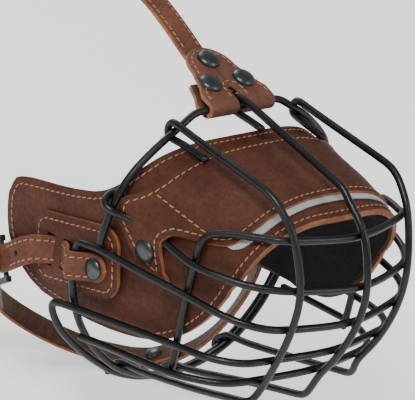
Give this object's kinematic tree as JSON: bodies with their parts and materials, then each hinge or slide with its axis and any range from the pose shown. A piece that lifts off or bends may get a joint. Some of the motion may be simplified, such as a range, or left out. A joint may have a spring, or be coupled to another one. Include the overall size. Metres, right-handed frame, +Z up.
{
  "type": "basket muzzle",
  "caption": "Wire basket muzzle for a broad-nosed dog, with a felt-lined leather nose pad, a riveted fork tab, a head strap and a buckled neck strap.",
  "frame": {"origin": "middle of the snout opening, level with the cheek hoop and in the plane of the rear hoop", "axes": "+Z up, -Y out of the front of the basket along the nose, +X to the dog's left side; +Y is the way the snout comes in"},
  "size_m": [0.1698, 0.3069, 0.2266],
  "materials": {
    "coated_wire": "semi-gloss black coating over steel wire",
    "pad_leather": "oiled brown leather with tan stitching",
    "strap_leather": "oiled brown leather with tan raw edges",
    "black_felt": "matt black felt",
    "dark_metal": "satin black oxide",
    "grey_tape": "light grey woven tape with a soft sheen"
  },
  "bodies": {
    "basket": {"rear_hoop": "coated_wire", "cheek_hoop": "coated_wire", "jaw_hoop": "coated_wire", "bridge_hoop": "coated_wire", "top_hoop": "coated_wire", "chin_hoop": "coated_wire", "center_front_wire": "coated_wire", "right_front_wire": "coated_wire", "left_front_wire": "coated_wire", "nose_pad": "pad_leather", "felt_lining": "black_felt", "overlay_band": "pad_leather", "grey_strip": "grey_tape", "right_cheek_patch": "pad_leather", "left_cheek_patch": "pad_leather", "right_strap_tab": "strap_leather", "left_strap_tab": "strap_leather", "overlay_rivets": "dark_metal", "tab_rivets": "dark_metal"},
    "neck_harness": {"buckle_strap": "strap_leather", "neck_strap": "strap_leather", "far_strap": "strap_leather", "lap_rivet": "dark_metal", "buckle_frame": "dark_metal"},
    "prong": {"buckle_prong": "dark_metal"},
    "fork": {"fork_tab": "strap_leather", "fork_rivets": "dark_metal", "head_strap_front": "strap_leather"},
    "head_harness": {"head_strap_rear": "strap_leather", "nape_loop": "strap_leather", "loop_rivet": "dark_metal"}
  },
  "joints": [
    {"name": "neck_strap_swing", "type": "hinge", "parent": "basket", "child": "neck_harness", "pos_m": [0, 0.046, -0.0185], "axis": [1, 0, 0], "range_deg": [-8, 12]},
    {"name": "fork_tab_turn", "type": "hinge", "parent": "basket", "child": "fork", "pos_m": [0, 0, 0.0655], "axis": [1, 0, 0], "range_deg": [-4.3, 6.4]},
    {"name": "head_strap_flex", "type": "hinge", "parent": "fork", "child": "head_harness", "pos_m": [-0.002, 0.145, 0.109], "axis": [1, 0, 0], "range_deg": [-1.2, 0.8]},
    {"name": "prong_turn", "type": "hinge", "parent": "neck_harness", "child": "prong", "pos_m": [-0.076, 0.0665, -0.0345], "axis": [0.1133, 0.5595, 0.8211], "range_deg": [0, 20]}
  ],
  "couplings": [
    {"joint": "fork_tab_turn", "follows": "neck_strap_swing", "ratio": 0.532},
    {"joint": "head_strap_flex", "follows": "neck_strap_swing", "ratio": -0.099}
  ]
}
